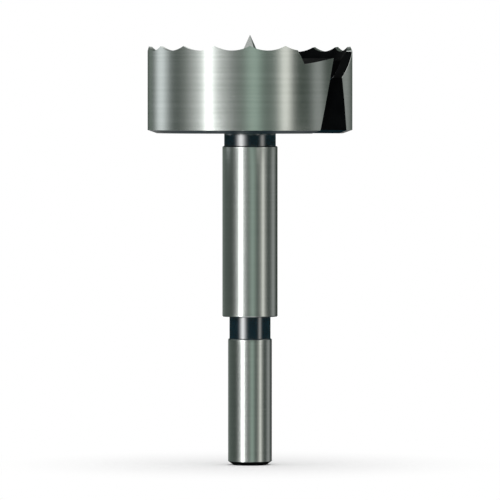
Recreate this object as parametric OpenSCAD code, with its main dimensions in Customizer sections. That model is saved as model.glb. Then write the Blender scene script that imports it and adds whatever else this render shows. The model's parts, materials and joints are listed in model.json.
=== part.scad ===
// Serrated-rim forstner bit, turned, milled and ground from one piece of tool steel.
// Millimetres. The origin is the centre of the shank's end face, +Z runs up the axis to the spur,
// and +X lies along the cutting edge of one of the two lifters.
// Seen from the spur the bit turns anticlockwise, so each lifter cuts towards the throat ahead of it.

/* [Shank] */
// Diameter that the chuck grips (3/8 in)
shank_d = 9.525; // [8:0.005:11]
// Length from the end face to the relief groove
shank_l = 27.4; // [15:0.1:60]
// Radial width of the bevel round the end face
end_bevel_w = 1.15; // [0.3:0.05:2]
// Height of that bevel
end_bevel_h = 0.8; // [0.3:0.05:2]
// Depth of the relief groove above the shank
groove_depth = 0.3; // [0.2:0.05:1]
// Length of the relief groove
groove_l = 4.8; // [2:0.1:10]

/* [Body] */
// Diameter of the thick body between the groove and the neck
body_d = 12; // [11.5:0.1:16]
// Length of the body
body_l = 37; // [20:0.5:80]
// Depth of the neck under the head, below the body's surface
neck_depth = 0.4; // [0.2:0.05:1]
// Length of the neck
neck_l = 2.8; // [1.5:0.1:8]
// Small bevel that breaks the sharp edges of the shank and the body
edge_break = 0.18; // [0.05:0.01:0.2]

/* [Head] */
// Diameter of the hole that the bit bores (1-3/4 in)
cutting_d = 44.45; // [40:0.05:55]
// Height from the back face to the tooth tips
head_h = 18.8; // [16:0.1:26]
// Radial width of the bevel round the back face
back_bevel_w = 2; // [0.5:0.1:3]
// Height of that bevel
back_bevel_h = 0.7; // [0.3:0.1:2]

/* [Serrated rim] */
// Tooth places round the whole rim, an even number so that both halves match
tooth_count = 18; // [14:2:24]
// Angle from a lifter's edge to the first tooth place ahead of it
tooth_turn = 6; // [0:0.5:20]
// Depth of the scalloped gullets between the teeth
gullet_depth = 1; // [0.6:0.1:1.4]
// Thickness of the rim's wall
rim_t = 2.4; // [1.8:0.1:3.5]
// Width left on the rim at the tooth tips by the bevel inside it
rim_land = 0.7; // [0.4:0.1:1.5]
// Height of that inside bevel
rim_bevel_h = 3; // [1.5:0.1:5]
// Depth of the pocket inside the rim, below the tooth tips
pocket_depth = 7.5; // [5.5:0.1:9]
// Fillet between the rim's wall and the pocket's floor
pocket_fillet = 1.5; // [0.5:0.1:2]

/* [Lifters] */
// Depth of the lifters' edges below the tooth tips
lifter_drop = 2.6; // [1.6:0.1:3.5]
// Clearance angle of the ground face behind each edge
relief_angle = 9; // [6:0.5:14]
// Length of the ground face behind each edge
relief_l = 8.4; // [6:0.1:10]
// Hook angle of the face ahead of each edge
hook_angle = 15.5; // [5:0.5:20]
// Lean of the rim's end where the ground face runs out through the rim
rim_end_angle = 27; // [10:1:45]
// Lean of each lifter's back, down to the pocket's floor
lifter_back_angle = 35; // [15:1:45]
// Set-back of that back from the end of the ground face
lifter_back_inset = 0.3; // [0.1:0.1:2]
// Length of each lifter's bar past the axis, which makes the hub under the spur
lifter_tail = 5; // [4:0.1:8]

/* [Throats] */
// Narrowest gap between a lifter's edge and the rim ahead of it
nose_gap = 3.6; // [3:0.1:6]
// Depth of that narrowest point below the tooth tips
nose_drop = 6.8; // [4.5:0.1:9]
// Gap between a lifter's edge and the rim ahead of it, at the tooth tips
mouth_gap = 13.1; // [9:0.1:15]
// Gap ahead of the lifter's edge at the back face
exit_gap = 6.3; // [5:0.1:9]
// Distance from the axis to the throat's root, at the lifter's edge
root_top = 2.8; // [2.5:0.1:5]
// Steel left between the neck and the throat's root, at the back face
root_wall = 1.8; // [1:0.1:4]

/* [Spur] */
// Height of the centre spur above the tooth tips
spur_rise = 2.6; // [1:0.1:4]
// Angle between the axis and each of the spur's four ground faces
spur_angle = 20.5; // [12:0.5:22]
// Turn of the spur's faces from the lifters' edges
spur_turn = 23; // [0:1:90]

/* [Hidden] */
$fn = 96;

// Overlap that carries a cut clear of the faces that it passes through
clear = 0.6;
// Turn of the revolved shapes, which keeps their seam away from the lifters' edges
seam_turn = 101;

// Radii of the turned steps
shank_r = shank_d / 2;
groove_r = shank_r - groove_depth;
body_r = body_d / 2;
neck_r = body_r - neck_depth;
head_r = cutting_d / 2;
pocket_r = head_r - rim_t;

// Heights of the turned steps, from the end face up
z_groove = shank_l;
z_body = z_groove + groove_l;
z_neck = z_body + body_l;
z_back = z_neck + neck_l;
z_tip = z_back + head_h;
z_blank = z_tip + clear;

// Heights on the cutting face
z_apex = z_tip + spur_rise;
z_edge = z_tip - lifter_drop;
z_heel = z_edge - relief_l * tan(relief_angle);
z_nose = z_tip - nose_drop;
z_floor = z_tip - pocket_depth;

// Scalloped gullets: neighbouring arcs cross at the tooth tips on the cutting diameter
tooth_pitch = 360 / tooth_count;
tooth_chord = 2 * head_r * sin(tooth_pitch / 2);
gullet_r = pow(tooth_chord, 2) / (8 * gullet_depth) + gullet_depth / 2;
z_gullet_axis = z_tip - gullet_depth + gullet_r;

// The throat's root slopes out from the spur to the neck
root_back = neck_r + root_wall;
root_slope = (root_back - root_top) / (z_edge - z_back);
function root_x(z) = root_top + (z_edge - z) * root_slope;

// Offsets along Y of the faces that bound a lifter and its throat, at height z
function relief_y(z) = (z - z_edge) / tan(relief_angle);
function rim_end_y(z) = -relief_l - (z - z_heel) * tan(rim_end_angle);
function back_y(z) = lifter_back_inset - relief_l + (z - z_heel) * tan(lifter_back_angle);
function hook_y(z) = (z - z_edge) * tan(hook_angle);
function mouth_y(z) = nose_gap + (z - z_nose) * (mouth_gap - nose_gap) / nose_drop;
function exit_y(z) = nose_gap + (z_nose - z) * (exit_gap - nose_gap) / (z_nose - z_back);

// Extrudes a (Y, Z) outline along X, from x0 to x1
module along_x(x0, x1) {
    translate([x0, 0, 0])
        rotate([90, 0, 90])
            linear_extrude(height = x1 - x0)
                children();
}

// Extrudes an (X, Z) outline along Y, half to each side of the axis
module along_y(width) {
    rotate([90, 0, 0])
        linear_extrude(height = width, center = true)
            children();
}

// Repeats its children on both halves of the head
module both_halves() {
    for (turn = [0, 180])
        rotate([0, 0, turn])
            children();
}

// The bar as it leaves the lathe: shank, relief groove, body, neck and a solid head
module turned_blank() {
    rotate([0, 0, seam_turn])
        rotate_extrude()
            polygon([
                [0, 0],
                [shank_r - end_bevel_w, 0],
                [shank_r, end_bevel_h],
                [shank_r, z_groove - edge_break],
                [shank_r - edge_break, z_groove],
                [groove_r, z_groove],
                [groove_r, z_body],
                [body_r - edge_break, z_body],
                [body_r, z_body + edge_break],
                [body_r, z_neck - edge_break],
                [body_r - edge_break, z_neck],
                [neck_r, z_neck],
                [neck_r, z_back],
                [head_r - back_bevel_w, z_back],
                [head_r, z_back + back_bevel_h],
                [head_r, z_blank],
                [0, z_blank]
            ]);
}

// The round pocket that leaves the rim standing, with a bevel inside the teeth and a filleted floor
module pocket() {
    fillet_r = pocket_r - pocket_fillet;
    fillet_z = z_floor + pocket_fillet;
    rotate([0, 0, seam_turn])
        rotate_extrude() {
            polygon([
                [0, z_floor],
                [fillet_r, z_floor],
                [fillet_r, fillet_z],
                [pocket_r, fillet_z],
                [pocket_r, z_tip - rim_bevel_h],
                [head_r - rim_land, z_tip],
                [head_r - rim_land, z_blank + clear],
                [0, z_blank + clear]
            ]);
            translate([fillet_r, fillet_z])
                circle(r = pocket_fillet);
        }
}

// The steel left standing across the pocket for one lifter, from just past the axis out into the rim
module lifter_bar() {
    z_foot = z_floor - clear;
    intersection() {
        along_x(-lifter_tail, head_r)
            polygon([
                [back_y(z_foot), z_foot],
                [nose_gap / 2, z_foot],
                [nose_gap / 2, z_blank],
                [back_y(z_blank), z_blank]
            ]);
        rotate([0, 0, seam_turn])
            cylinder(r = head_r - rim_land / 2, h = z_blank);
    }
}

// Grinds the clearance face behind a lifter's edge, out through the rim
module relief_cut() {
    z_ahead = z_edge + clear;
    z_over = z_blank + clear;
    along_x(-lifter_tail - clear, head_r + clear)
        polygon([
            [relief_y(z_ahead), z_ahead],
            [-relief_l, z_heel],
            [rim_end_y(z_over), z_over],
            [relief_y(z_ahead), z_over]
        ]);
}

// Mills the chip throat ahead of a lifter's edge, out through the wall and the back face
module throat_cut() {
    z_over = z_blank + clear;
    z_under = z_back - clear;
    far_x = head_r + clear;
    intersection() {
        along_x(0, far_x)
            polygon([
                [hook_y(z_under), z_under],
                [exit_y(z_under), z_under],
                [nose_gap, z_nose],
                [mouth_y(z_over), z_over],
                [hook_y(z_over), z_over]
            ]);
        along_y(2 * far_x)
            polygon([
                [root_x(z_under), z_under],
                [far_x, z_under],
                [far_x, z_over],
                [root_x(z_over), z_over]
            ]);
    }
}

// Grinds the scalloped gullets across the rim
module gullets() {
    start_r = pocket_r - clear;
    for (i = [0 : tooth_count - 1])
        rotate([0, 0, tooth_turn + (i + 0.5) * tooth_pitch])
            translate([start_r, 0, z_gullet_axis])
                rotate([0, 90, 0])
                    cylinder(r = gullet_r, h = rim_t + 2 * clear);
}

// Four-sided centre spur: two wedges that cross at right angles
module spur() {
    z_foot = z_edge - clear;
    half_w = (z_apex - z_foot) * tan(spur_angle);
    wedge = [[-half_w, z_foot], [half_w, z_foot], [0, z_apex]];
    rotate([0, 0, spur_turn])
        intersection() {
            along_x(-half_w, half_w)
                polygon(wedge);
            along_y(2 * half_w)
                polygon(wedge);
        }
}

module forstner_bit() {
    color("silver") {
        difference() {
            union() {
                difference() {
                    turned_blank();
                    pocket();
                }
                both_halves()
                    lifter_bar();
            }
            both_halves() {
                relief_cut();
                throat_cut();
            }
            gullets();
        }
        spur();
    }
}

forstner_bit();
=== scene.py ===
# %% [markdown]
# A forstner bit is one piece of tool steel, so there is nothing to assemble in this lesson.
# What makes it look real is how its surfaces were finished: the outside was ground bright on a
# cylindrical grinder, and everything that the wheel could not reach kept the blue-black skin of
# the hardening bath. We load the solid, give it that finish, and light it like a tool in a catalogue.

# %% Load the frame
import json
import math

import bpy
import numpy as np
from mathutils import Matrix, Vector


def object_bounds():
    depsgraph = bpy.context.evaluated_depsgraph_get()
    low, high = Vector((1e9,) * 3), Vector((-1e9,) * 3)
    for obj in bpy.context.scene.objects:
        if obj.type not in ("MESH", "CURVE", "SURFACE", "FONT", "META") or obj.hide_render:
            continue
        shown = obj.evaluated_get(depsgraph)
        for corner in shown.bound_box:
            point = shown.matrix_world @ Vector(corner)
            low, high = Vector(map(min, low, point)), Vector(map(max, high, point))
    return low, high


MM = 0.001
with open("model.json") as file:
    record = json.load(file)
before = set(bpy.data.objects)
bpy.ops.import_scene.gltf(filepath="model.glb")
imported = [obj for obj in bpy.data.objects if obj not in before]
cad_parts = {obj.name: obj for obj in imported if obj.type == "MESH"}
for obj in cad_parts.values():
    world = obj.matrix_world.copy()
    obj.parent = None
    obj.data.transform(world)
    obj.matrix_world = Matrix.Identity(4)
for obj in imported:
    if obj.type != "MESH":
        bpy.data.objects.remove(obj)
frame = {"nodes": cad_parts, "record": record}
cad_low, cad_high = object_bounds()
bit = frame["nodes"]["forstner_bit"]
print("solid spans", [round(size / MM, 2) for size in Vector(cad_high) - Vector(cad_low)], "mm")

# %% [markdown]
# The finish follows the turned steps, so we name them once, in metres. Two of them are read from
# the frame: the head's radius is half the solid's width, and the shank's radius is the size of its mount.
# The others repeat the part's own sizes.

# %% Sizes of the turned steps
head_r = (cad_high[0] - cad_low[0]) / 2
shank_r = frame["record"]["mounts"][0]["dims"]["r_mm"] * MM
body_r = 6.0 * MM
end_bevel = 0.8 * MM
shank_top = 27.4 * MM
body_low = 32.2 * MM
body_top = 69.2 * MM
head_back = 72.0 * MM
back_bevel = 0.7 * MM
print("head", round(2 * head_r / MM, 2), "mm, shank", round(2 * shank_r / MM, 3), "mm")

# %% [markdown]
# The cutting end has sizes of its own: the rim's teeth, the pocket inside them, the lifters with their
# edge and heel, and the spur.

# %% Sizes of the cutting end
tooth_tip = 90.8 * MM
gullet_depth = 1.0 * MM
pocket_r = 19.825 * MM
lifter_edge = 88.2 * MM
lifter_heel = 86.87 * MM
spur_reach = 3.0 * MM
print("spur stands", round((cad_high[2] - tooth_tip) / MM, 2), "mm above the teeth")

# %% [markdown]
# Node trees get long when every node takes three lines. Small helpers keep them readable: one adds
# a node, sets plain values on its sockets and links the sockets that it is given. The others do sums
# with masks, which are 1 where something holds and 0 elsewhere.

# %% Helpers for shader nodes
def put(tree, value, socket):
    """Links a socket, or sets a plain value on it."""
    if isinstance(value, bpy.types.NodeSocket):
        tree.links.new(value, socket)
    else:
        socket.default_value = value


def add(tree, kind, *inputs, output=0, **settings):
    """Adds a node of one kind. Each input is a socket, a plain value, or None to leave it as it is."""
    made = tree.nodes.new(kind)
    for key, value in settings.items():
        setattr(made, key, value)
    for socket, value in zip(made.inputs, inputs):
        if value is not None:
            put(tree, value, socket)
    return made.outputs[output]


def calc(tree, operation, *values):
    """One Math node."""
    return add(tree, "ShaderNodeMath", *values, operation=operation)


def both(tree, *masks):
    """The place where all the masks hold: their product."""
    found = masks[0]
    for mask in masks[1:]:
        found = calc(tree, "MULTIPLY", found, mask)
    return found


def either(tree, *masks):
    """The place where any of the masks holds: their greatest."""
    found = masks[0]
    for mask in masks[1:]:
        found = calc(tree, "MAXIMUM", found, mask)
    return found


def blend(tree, share, plain, other, kind="Float"):
    """A number or a colour that goes from one value to another as the share goes from 0 to 1."""
    made = tree.nodes.new("ShaderNodeMix")
    made.data_type = "RGBA" if kind == "Color" else "FLOAT"
    inputs = {socket.identifier: socket for socket in made.inputs}
    put(tree, share, inputs["Factor_Float"])
    put(tree, plain, inputs["A_" + kind])
    put(tree, other, inputs["B_" + kind])
    return next(socket for socket in made.outputs if socket.identifier == "Result_" + kind)


# %% [markdown]
# Which places did the grinding wheel touch? On the outside that is a question of radius: a point is on
# a ground land when it lies on the outer radius of its step. We could paint the faces one by one, but a
# rule on radius and height needs no list of faces. A necked groove is only 0.3 mm deeper, so the test is
# narrow. The mesh's flat facets dip about a hundredth of a millimetre below the true circle, and the test
# allows for several times that.

# %% Where the wheel ground the outside
FACET_DIP = 0.08 * MM
EDGE_SLACK = FACET_DIP / 4
GROUND_LANDS = {
    "shank": (shank_r, end_bevel, shank_top),
    "body": (body_r, body_low, body_top),
    "head": (head_r, head_back + back_bevel, tooth_tip + MM),
}


def ground_lands(tree, reach, height):
    """1 on the outer radius of the shank, the body and the head, and 0 elsewhere."""
    found = []
    for radius, low, high in GROUND_LANDS.values():
        outside = calc(tree, "GREATER_THAN", reach, radius - FACET_DIP)
        above = calc(tree, "GREATER_THAN", height, low - EDGE_SLACK)
        below = calc(tree, "LESS_THAN", height, high)
        found.append(both(tree, outside, above, below))
    return either(tree, *found)


print("ground lands:", ", ".join(GROUND_LANDS))

# %% [markdown]
# Two more places were ground after hardening, because they cut: the spur, and the scalloped gullets
# that leave the rim's teeth between them. The spur is all that stands near the axis above the lifters'
# edges. The gullets are the faces near the tooth tips that look upwards, so here the rule also asks which
# way the surface faces: upward is the height of its normal, 1 on a level face and 0 on an upright one.

# %% Where the spur and the teeth were ground
GULLET_UPWARD = 0.62


def ground_tips(tree, reach, height, upward):
    """1 on the spur and in the gullets, and 0 elsewhere."""
    near_axis = calc(tree, "LESS_THAN", reach, spur_reach)
    above_edge = calc(tree, "GREATER_THAN", height, lifter_edge + FACET_DIP)
    in_gullet = calc(tree, "GREATER_THAN", height, tooth_tip - gullet_depth - FACET_DIP)
    faces_up = calc(tree, "GREATER_THAN", upward, GULLET_UPWARD)
    return either(tree, both(tree, near_axis, above_edge), both(tree, in_gullet, faces_up))


print("gullets lie above", round((tooth_tip - gullet_depth) / MM, 2), "mm")

# %% [markdown]
# Everywhere else the oxide stayed, and how it shines depends on the steel under it. The two necks were
# turned smooth, the head's back and the pocket's floor were left as the lathe cut them, and the throats,
# the lifters, the inside of the rim and the shank's end were never smoothed at all. Each place is again
# a rule on radius, height and facing.

# %% Where the oxide stayed
FLOOR_UPWARD = 0.5


def oxide_places(tree, reach, height, upward):
    """Masks of the whole head, of the room inside its wall, and of the places that were never smoothed."""
    on_head = calc(tree, "GREATER_THAN", height, head_back - EDGE_SLACK)
    inside = both(tree, calc(tree, "GREATER_THAN", height, head_back + back_bevel),
                  calc(tree, "LESS_THAN", reach, head_r - FACET_DIP))
    not_floor = either(tree, calc(tree, "GREATER_THAN", height, lifter_heel),
                       calc(tree, "GREATER_THAN", reach, pocket_r),
                       calc(tree, "LESS_THAN", upward, FLOOR_UPWARD))
    at_end = calc(tree, "LESS_THAN", height, end_bevel - EDGE_SLACK)
    rough = either(tree, both(tree, inside, not_floor), at_end)
    return {"back": on_head, "floor": inside, "rough": rough}


print("pocket's floor lies within", round(pocket_r / MM, 2), "mm of the axis")

# %% [markdown]
# No finish is one flat colour. A wheel leaves fine rings on ground steel, so its shade, its gloss and a
# shallow bump follow a noise that is squeezed along the axis. Oxide has soft clouds in place of rings.
# Both noises keep near their middle, so we stretch that middle span over the whole range of a finish.

# %% Shades that follow a noise
RING_LINES = (25.0, 25.0, 2600.0)
RING_LAYERS = 4.0
CLOUD_SIZE = 260.0
CLOUD_LAYERS = 5.0
NOISE_SPAN = (0.3, 0.7)


def shades(tree, noise, pair):
    """A ramp between a finish's darker and lighter shade, driven by a noise."""
    colour = add(tree, "ShaderNodeValToRGB", noise)
    low, high = colour.node.color_ramp.elements
    low.position, high.position = NOISE_SPAN
    low.color, high.color = pair
    return colour


def grain(tree, noise, smooth, coarse):
    """A roughness between a smooth and a coarse value, driven by a noise."""
    return add(tree, "ShaderNodeMapRange", noise, *NOISE_SPAN, smooth, coarse)


print("grinding rings are about", round(1 / (RING_LINES[2] * MM), 2), "mm apart")

# %% [markdown]
# Ground steel is a bright metal with a slight green cast. Its rings are far too fine to model, so they are
# a bump in the material, a hundredth of a millimetre deep, which breaks up the gloss a little.

# %% Ground steel
GROUND_SHADES = ((0.585, 0.615, 0.59, 1.0), (0.65, 0.675, 0.655, 1.0))
GROUND_GRAIN = (0.195, 0.22)
RING_DEPTH = 0.01 * MM
RING_STRENGTH = 0.04


def ground_finish(tree, spot):
    """Colour, roughness and normal of steel that was ground in rings round the axis."""
    rings = add(tree, "ShaderNodeMapping", spot, None, None, RING_LINES)
    noise = add(tree, "ShaderNodeTexNoise", rings, None, 1.0, RING_LAYERS)
    bump = tree.nodes.new("ShaderNodeBump")
    bump.inputs["Strength"].default_value = RING_STRENGTH
    bump.inputs["Distance"].default_value = RING_DEPTH
    put(tree, noise, bump.inputs["Height"])
    return shades(tree, noise, GROUND_SHADES), grain(tree, noise, *GROUND_GRAIN), bump.outputs["Normal"]


print("ground steel's roughness goes from", GROUND_GRAIN[0], "to", GROUND_GRAIN[1])

# %% [markdown]
# Oxide is no metal: it is a dense blue-black glass, so seen straight on it mirrors a sixth of the light at
# most, in the light's own colour. On the turned necks it is glossy, and on the head's back and the pocket's
# floor it is satin. Where no tool smoothed the steel under it, it is matt and black. Each line below gives
# the smoothest and the coarsest roughness of one kind and the level of its mirror light.

# %% Oxide
OXIDE_SHADES = ((0.0004, 0.0095, 0.016, 1.0), (0.0008, 0.016, 0.025, 1.0))
BLACK_SHADES = ((0.002, 0.0023, 0.0025, 1.0), (0.005, 0.0057, 0.006, 1.0))
OXIDE_IOR = 2.0
NECK_OXIDE = (0.13, 0.16, 0.72)
OTHER_OXIDES = {
    "back": (0.3, 0.42, 0.03),
    "floor": (0.3, 0.42, 0.2),
    "rough": (0.45, 0.6, 0.0008),
}


def oxide_finish(tree, spot, places):
    """Colour, roughness and mirror light of the oxide: each place covers those that come before it."""
    noise = add(tree, "ShaderNodeTexNoise", spot, None, CLOUD_SIZE, CLOUD_LAYERS)
    smooth, coarse, shine = NECK_OXIDE
    roughness = grain(tree, noise, smooth, coarse)
    for name, (smooth, coarse, level) in OTHER_OXIDES.items():
        roughness = blend(tree, places[name], roughness, grain(tree, noise, smooth, coarse))
        shine = blend(tree, places[name], shine, level)
    blue, black = (shades(tree, noise, pair) for pair in (OXIDE_SHADES, BLACK_SHADES))
    return blend(tree, places["rough"], blue, black, "Color"), roughness, shine


print("oxide on the necks and on", ", ".join(OTHER_OXIDES), "places")

# %% [markdown]
# Now the two finishes meet in one material. Real steel has no soft border between a ground land and the
# oxide beside it, because the border is an edge that was turned. So the mask that mixes them is sharp.

# %% The tool steel
def make_tool_steel():
    """Bright ground steel where the wheel went, and oxide elsewhere."""
    material = bpy.data.materials.new("tool_steel_finish")
    material.use_nodes = True
    tree = material.node_tree
    place = tree.nodes.new("ShaderNodeTexCoord")
    spot = place.outputs["Object"]
    split = add(tree, "ShaderNodeSeparateXYZ", spot).node
    height = split.outputs["Z"]
    squares = [calc(tree, "POWER", split.outputs[axis], 2.0) for axis in "XY"]
    reach = calc(tree, "SQRT", calc(tree, "ADD", *squares))
    upward = add(tree, "ShaderNodeSeparateXYZ", place.outputs["Normal"], output=2)

    ground = either(tree, ground_lands(tree, reach, height), ground_tips(tree, reach, height, upward))
    steel_colour, steel_rough, normal = ground_finish(tree, spot)
    places = oxide_places(tree, reach, height, upward)
    oxide_colour, oxide_rough, shine = oxide_finish(tree, spot, places)

    sockets = tree.nodes["Principled BSDF"].inputs
    put(tree, blend(tree, ground, oxide_colour, steel_colour, "Color"), sockets["Base Color"])
    put(tree, ground, sockets["Metallic"])
    put(tree, blend(tree, ground, oxide_rough, steel_rough), sockets["Roughness"])
    put(tree, shine, sockets["Specular IOR Level"])
    put(tree, OXIDE_IOR, sockets["IOR"])
    put(tree, normal, sockets["Normal"])
    return material


tool_steel = make_tool_steel()
bit.material_slots[0].material = tool_steel
print("finish", tool_steel.name, "uses", len(tool_steel.node_tree.nodes), "nodes")

# %% [markdown]
# The bit stands on a plain white table. Near the bit the table is matt and takes its shadow; farther
# out it fades to the plain white of the backdrop, so that no horizon shows behind the bit. Mirror-like rays
# skip the table. Otherwise the foot of the shank would mirror white, and its streaks would end too early.

# %% Table
TABLE_HALF = 4.0
TABLE_SHADE = (0.97, 0.97, 0.97, 1.0)
SHADOW_REACH = (0.01, 0.06)


def make_table_finish():
    """A matt white that turns, for the camera alone, to plain white with distance from the axis."""
    material = bpy.data.materials.new("white_table")
    material.use_nodes = True
    tree = material.node_tree
    matt = tree.nodes["Principled BSDF"]
    matt.inputs["Base Color"].default_value = TABLE_SHADE
    matt.inputs["Roughness"].default_value = 1.0
    matt.inputs["Specular IOR Level"].default_value = 0.0
    spot = tree.nodes.new("ShaderNodeTexCoord").outputs["Object"]
    away = add(tree, "ShaderNodeVectorMath", spot, operation="LENGTH", output=1)
    fade = add(tree, "ShaderNodeMapRange", away, *SHADOW_REACH, 0.0, 1.0, interpolation_type="SMOOTHSTEP")
    rays = tree.nodes.new("ShaderNodeLightPath")
    white = tree.nodes.new("ShaderNodeEmission")
    sweep = add(tree, "ShaderNodeMixShader", both(tree, fade, rays.outputs["Is Camera Ray"]),
                matt.outputs["BSDF"], white.outputs["Emission"])
    put(tree, sweep, tree.nodes["Material Output"].inputs["Surface"])
    return material


def make_table():
    """A flat square at the height of the solid's lowest point."""
    corners = np.array([(-1, -1), (1, -1), (1, 1), (-1, 1)]) * TABLE_HALF
    mesh = bpy.data.meshes.new("table")
    mesh.from_pydata([(x, y, cad_low[2]) for x, y in corners], [], [(0, 1, 2, 3)])
    mesh.materials.append(make_table_finish())
    table = bpy.data.objects.new("table", mesh)
    bpy.context.collection.objects.link(table)
    table.visible_glossy = False
    return table


table = make_table()
print("table is", 2 * TABLE_HALF, "m wide, at height", round(cad_low[2] / MM, 2), "mm")

# %% [markdown]
# The studio's air is plain white: the world lights matt faces evenly, and it is the backdrop too.

# %% White world
def make_world():
    """A plain white world, seen alike by every kind of ray."""
    world = bpy.data.worlds.new("studio")
    bpy.context.scene.world = world
    world.use_nodes = True
    world.node_tree.nodes["Background"].inputs["Color"].default_value = (1.0, 1.0, 1.0, 1.0)
    return world


studio = make_world()
print("world", studio.name, "is plain white")

# %% [markdown]
# Polished round bars show their surroundings as upright streaks. Where the bar's surface is turned by
# an angle from the camera, it mirrors what stands at twice that angle. In a white studio steel looks flat
# and white, so a photographer hangs dim screens round it and puts soft light cards on them, and each card
# makes one streak. A card is a soft bump of light: its brightness falls away from its centre like a bell
# curve. Each card below is given by its compass angle from the camera, its half width, both in degrees,
# its light and its tint.

# %% Light of the soft cards
CAMERA_AZIMUTH = math.radians(36)
WHITE = (1.0, 1.0, 1.0)
COOL = (0.97, 1.0, 1.03)
GREEN = (0.90, 1.05, 0.96)
LEAF = (0.86, 1.09, 0.95)
WARM = (1.03, 1.0, 0.95)


def card_light(tree, room, cards):
    """The light of a spot on a screen: the dim room plus a bell curve of compass angle for each card."""
    spot = tree.nodes.new("ShaderNodeTexCoord").outputs["Object"]
    split = add(tree, "ShaderNodeSeparateXYZ", spot).node
    away = calc(tree, "MULTIPLY", split.outputs["Y"], -1.0)
    compass = calc(tree, "ARCTAN2", split.outputs["X"], away)
    total = room
    for angle, half_width, light, tint in cards.values():
        off = calc(tree, "SUBTRACT", compass, CAMERA_AZIMUTH + math.radians(angle))
        off = calc(tree, "WRAP", off, math.pi, -math.pi)
        off = calc(tree, "DIVIDE", off, math.radians(half_width))
        bell = calc(tree, "EXPONENT", calc(tree, "MULTIPLY", calc(tree, "MULTIPLY", off, off), -1.0))
        glow = add(tree, "ShaderNodeVectorMath", tint, operation="SCALE")
        put(tree, calc(tree, "MULTIPLY", bell, light), glow.node.inputs["Scale"])
        total = add(tree, "ShaderNodeVectorMath", total, glow, operation="ADD")
    return total


print("camera stands at", round(math.degrees(CAMERA_AZIMUTH)), "degrees, and the cards count from there")

# %% [markdown]
# A screen is a round wall on the bit's own axis, worked out as a grid of compass angle by height. Flat cards
# on stands would do as well, but one wall holds any number of them. Only mirror-like rays can see it: it is
# no lamp, and neither the table nor the camera knows of it.

# %% Round screens
SCREEN_STEPS = 144
BLIND_RAYS = ("camera", "diffuse", "transmission", "volume_scatter", "shadow")


def make_screen(name, radius, low, high, room, cards, sector=(-180, 180)):
    """A round wall: the compass angle within a sector by the height, with its cards' light as material."""
    compass = CAMERA_AZIMUTH + np.radians(np.linspace(*sector, SCREEN_STEPS + 1))
    compass, height = np.meshgrid(compass, np.array([low, high]))
    points = np.stack([radius * np.sin(compass), -radius * np.cos(compass), height], axis=-1).reshape(-1, 3)
    here = np.arange(SCREEN_STEPS)
    above = here + SCREEN_STEPS + 1
    faces = np.stack([here, here + 1, above + 1, above], axis=1)
    mesh = bpy.data.meshes.new(name)
    mesh.from_pydata(points.tolist(), [], faces.tolist())
    screen = bpy.data.objects.new(name, mesh)
    bpy.context.collection.objects.link(screen)
    material = bpy.data.materials.new(name + "_light")
    material.use_nodes = True
    tree = material.node_tree
    light = add(tree, "ShaderNodeEmission", card_light(tree, room, cards))
    put(tree, light, tree.nodes["Material Output"].inputs["Surface"])
    tree.nodes.remove(tree.nodes["Principled BSDF"])
    mesh.materials.append(material)
    for kind in BLIND_RAYS:
        setattr(screen, "visible_" + kind, False)
    print(name, "holds cards at", [round(card[0]) for card in cards.values()], "degrees from the camera")
    return screen


# %% [markdown]
# The far screen stands round the bit and gives the body and the shank their streaks. It stops above the
# bit, so faces that look upwards mirror the white studio over it. It runs on far below the table, so that
# the steel keeps its streaks when it is seen from high above.

# %% The far screen
FAR_R = 0.6
FAR_LOW = -2.5
FAR_HIGH = 0.45
FAR_ROOM = (0.042, 0.050, 0.045)
FAR_CARDS = {
    "left_wall": (-120, 45, 0.075, GREEN),
    "right_wall": (45, 55, 0.055, GREEN),
    "key": (-39, 22, 0.87, WHITE),
    "key_core": (-39, 4.5, 6.0, WHITE),
    "front": (11, 13, 0.33, LEAF),
    "second": (56, 13, 0.54, WARM),
    "second_core": (56, 4, 0.5, WARM),
    "right": (114, 16, 0.32, WHITE),
    "back_left": (-150, 16, 0.12, GREEN),
    "back": (180, 8, 1.2, WHITE),
}

far_screen = make_screen("far_screen", FAR_R, FAR_LOW, FAR_HIGH, FAR_ROOM, FAR_CARDS)

# %% [markdown]
# The head is nearly four times as thick as the body, and a photographer dresses it with a screen of its
# own that stands close round it. From a point on the head that screen is near, so a card does not stand at
# twice the surface's angle but a little less: the ray starts off the axis. We give each card by its streak's
# place across the head and work out where on the screen it stands.

# %% The near screen round the head
NEAR_R = 60 * MM
NEAR_HIGH = 160 * MM
NEAR_ROOM = (0.076, 0.093, 0.081)


def card_angle(streak, bar_r, screen_r):
    """Compass angle of a near card, for a streak at a share of the bar's radius from its middle."""
    return math.degrees(2 * math.asin(streak) - math.asin(bar_r * streak / screen_r))


def near_angle(streak):
    """The angle of a card on the head's own screen."""
    return card_angle(streak, head_r, NEAR_R)


NEAR_CARDS = {
    "far_left": (near_angle(-0.865), 13, 0.90, COOL),
    "key": (near_angle(-0.4), 20, 0.85, WHITE),
    "key_core": (near_angle(-0.4), 4.5, 1.6, WHITE),
    "front": (near_angle(0.035), 8, 0.40, LEAF),
    "second": (near_angle(0.345), 6, 1.02, WARM),
    "second_soft": (near_angle(0.24), 8, 0.12, GREEN),
    "right": (near_angle(0.66), 8, 0.30, WHITE),
    "far_right": (near_angle(0.93), 16, 0.24, WHITE),
    "back_left": (near_angle(-0.97), 8, 0.10, GREEN),
    "back": (180, 10, 1.1, WHITE),
}

near_screen = make_screen("near_screen", NEAR_R, body_top, NEAR_HIGH, NEAR_ROOM, NEAR_CARDS)

# %% [markdown]
# The spur's broad face looks up past the key card into the white studio, and would be lost against the white
# backdrop. So a small grey flag hangs over the head, where that face mirrors it.

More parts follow.
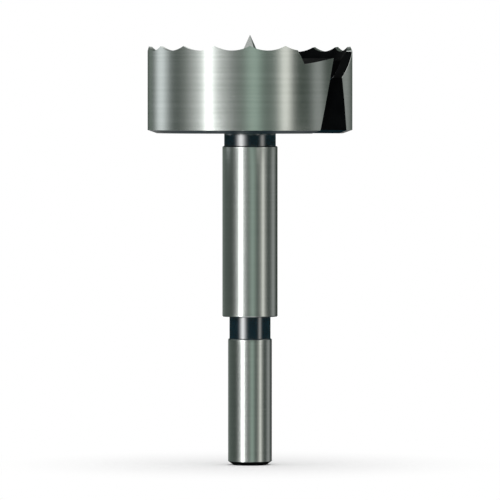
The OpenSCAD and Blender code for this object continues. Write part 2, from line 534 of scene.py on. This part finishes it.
# %% The flag over the spur
FLAG_R = 45 * MM
FLAG_LOW = 116 * MM
FLAG_HIGH = 142 * MM
FLAG_SECTOR = (-52, -10)
FLAG_ROOM = (0.06, 0.065, 0.062)
FLAG_CARDS = {
    "grey": (-31, 25, 0.55, WHITE),
}

spur_flag = make_screen("spur_flag", FLAG_R, FLAG_LOW, FLAG_HIGH, FLAG_ROOM, FLAG_CARDS, FLAG_SECTOR)

# %% [markdown]
# The two necks are blue-black and mirror only a sixth of the light, so they get bands of screen of their
# own, at their own height, with fewer and brighter cards. The bands hang close round the necks, where the
# head and most of the body do not mirror them. The camera looks down on the groove, so what the groove
# mirrors hangs a little lower than the groove itself.

# %% The bands at the necks
neck_depth = 0.4 * MM
groove_depth = 0.3 * MM
BAND_R = 10 * MM
NECK_BAND_GAP = 0.4 * MM
GROOVE_BAND_DROP = 0.25 * MM
BAND_ROOM = (0.03, 0.045, 0.045)


def band_cards(bar_r):
    """A key and a second card, placed by their streaks on a neck of one radius, and one behind it."""
    return {
        "key": (card_angle(-0.353, bar_r, BAND_R), 12.4, 4.6, WHITE),
        "second": (card_angle(0.482, bar_r, BAND_R), 7.5, 1.3, WARM),
        "back": (180, 10, 1.1, WHITE),
    }


neck_band = make_screen("neck_band", BAND_R, body_top, head_back - NECK_BAND_GAP,
                        BAND_ROOM, band_cards(body_r - neck_depth))
groove_band = make_screen("groove_band", BAND_R, shank_top - GROOVE_BAND_DROP, body_low - GROOVE_BAND_DROP,
                          BAND_ROOM, band_cards(shank_r - groove_depth))

# %% [markdown]
# The catalogue view looks straight at the head and slightly down on the shank, as a long lens does
# from the height of the head. So the head's edges are nearly straight and the shank's rings bow a little.

# %% Camera
PHOTO_SIZE = 500
MM_PER_PIXEL = 0.21715
CAMERA_DISTANCE = 1.4
CAMERA_HEIGHT = 81.0 * MM
AIM_HEIGHT = 46.64 * MM


def make_camera():
    """A long lens whose frame is 500 pixels of the photograph's scale at the bit's axis."""
    target = Vector((0.0, 0.0, AIM_HEIGHT))
    level = Vector((math.sin(CAMERA_AZIMUTH), -math.cos(CAMERA_AZIMUTH), 0.0)) * CAMERA_DISTANCE
    place = level + Vector((0.0, 0.0, CAMERA_HEIGHT))
    data = bpy.data.cameras.new("camera")
    field = PHOTO_SIZE * MM_PER_PIXEL * MM
    data.lens = data.sensor_width * (place - target).length / field
    camera = bpy.data.objects.new("camera", data)
    camera.location = place
    camera.rotation_euler = (target - place).to_track_quat("-Z", "Y").to_euler()
    bpy.context.collection.objects.link(camera)
    bpy.context.scene.camera = camera
    return camera


camera = make_camera()
bpy.context.scene.view_settings.view_transform = "Standard"
print("lens", round(camera.data.lens, 1), "mm")
